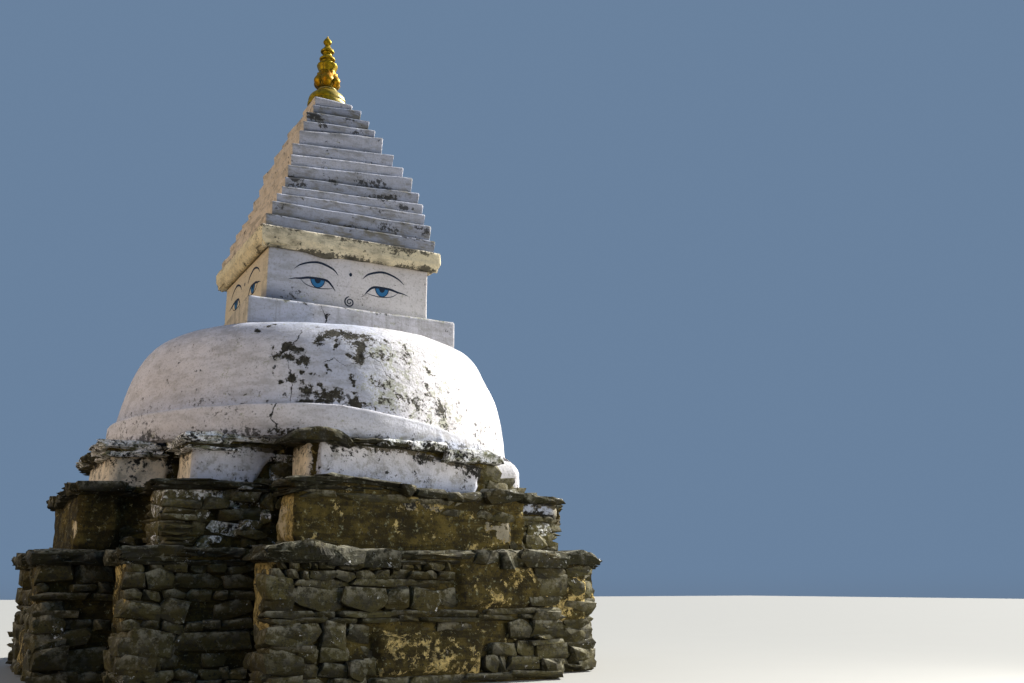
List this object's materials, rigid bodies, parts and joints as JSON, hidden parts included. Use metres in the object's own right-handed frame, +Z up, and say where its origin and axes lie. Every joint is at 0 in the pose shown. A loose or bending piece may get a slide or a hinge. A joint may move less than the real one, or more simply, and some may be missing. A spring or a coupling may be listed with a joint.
{
  "type": "stupa",
  "caption": "Whitewashed stepped stupa of rubble masonry: redented tiers with slate ledges, a broad dome, a square box with painted eyes, a stepped square spire and a gilt finial.",
  "frame": {"origin": "on the dome's axis at ground level, which is the middle of the underside", "axes": "+Z up the axis, -Y out of the front that the viewer faces, +X to that viewer's right"},
  "size_m": [3.88, 3.88, 5.045],
  "materials": {
    "rubble_masonry": "matte",
    "tier_whitewash": "matte",
    "slate": "matte",
    "whitewash": "matte",
    "cream_wash": "matte",
    "spire_whitewash": "matte",
    "gilt": "satin"
  },
  "bodies": {
    "root": {"lower_tier": "rubble_masonry", "middle_tier": "rubble_masonry", "upper_tier": "tier_whitewash", "lower_ledge_front": "slate", "lower_ledge_right": "slate", "lower_ledge_back": "slate", "lower_ledge_left": "slate", "middle_ledge_front": "slate", "middle_ledge_right": "slate", "middle_ledge_back": "slate", "middle_ledge_left": "slate", "upper_ledge_front": "slate", "upper_ledge_right": "slate", "upper_ledge_back": "slate", "upper_ledge_left": "slate", "dome_band": "whitewash", "dome": "whitewash", "box_base": "whitewash", "eye_box": "whitewash", "cornice": "cream_wash", "spire_step_01": "spire_whitewash", "spire_step_02": "spire_whitewash", "spire_step_03": "spire_whitewash", "spire_step_04": "spire_whitewash", "spire_step_05": "spire_whitewash", "spire_step_06": "spire_whitewash", "spire_step_07": "spire_whitewash", "spire_step_08": "spire_whitewash", "spire_step_09": "spire_whitewash", "spire_step_10": "spire_whitewash", "spire_step_11": "spire_whitewash", "spire_step_12": "spire_whitewash", "spire_step_13": "spire_whitewash", "finial_base": "gilt", "finial_lotus": "gilt", "finial_vase": "gilt", "finial_ring_lower": "gilt", "finial_ring_upper": "gilt", "finial_jewel": "gilt"}
  },
  "joints": []
}
